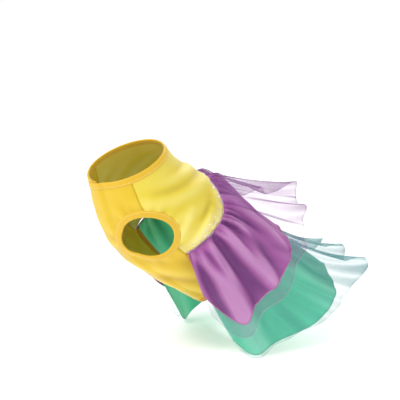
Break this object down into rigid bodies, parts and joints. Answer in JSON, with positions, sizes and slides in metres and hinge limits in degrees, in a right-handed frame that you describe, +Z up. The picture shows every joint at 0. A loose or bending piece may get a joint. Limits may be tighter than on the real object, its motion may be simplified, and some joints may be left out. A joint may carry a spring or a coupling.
{
  "type": "dog dress",
  "caption": "Small dog dress in its worn form: satin bodice with bound neck and leg holes, and two gathered satin skirt tiers under sheer overskirts.",
  "frame": {"origin": "the seat on the withers: a point on the inside of the back panel's centre line, just behind the neck edge", "axes": "+Z up, -X towards the neck, +X towards the skirts' hems, -Y the left side that the picture shows, as worn sitting"},
  "size_m": [0.3102, 0.2096, 0.2289],
  "materials": {
    "bodice_satin": "yellow satin, soft sheen",
    "binding_satin": "golden satin binding",
    "belly_binding": "golden orange satin binding",
    "hook_loop": "plain hook and loop tape",
    "piping": "pale silver lavender piping",
    "upper_satin": "orchid purple satin",
    "upper_sheer": "stiff sheer lavender organza",
    "lower_satin": "sea green satin",
    "lower_sheer": "stiff sheer pale green organza"
  },
  "bodies": {
    "root": {"back_panel": "bodice_satin", "chest_panel_left": "bodice_satin", "chest_panel_right": "bodice_satin", "closure_strip": "hook_loop", "neck_binding": "binding_satin", "leg_binding_left": "binding_satin", "leg_binding_right": "binding_satin", "belly_binding_left": "belly_binding", "belly_binding_right": "belly_binding", "waist_piping": "piping", "lower_skirt": "lower_satin", "lower_overskirt": "lower_sheer", "upper_skirt": "upper_satin", "upper_overskirt": "upper_sheer"}
  },
  "joints": []
}
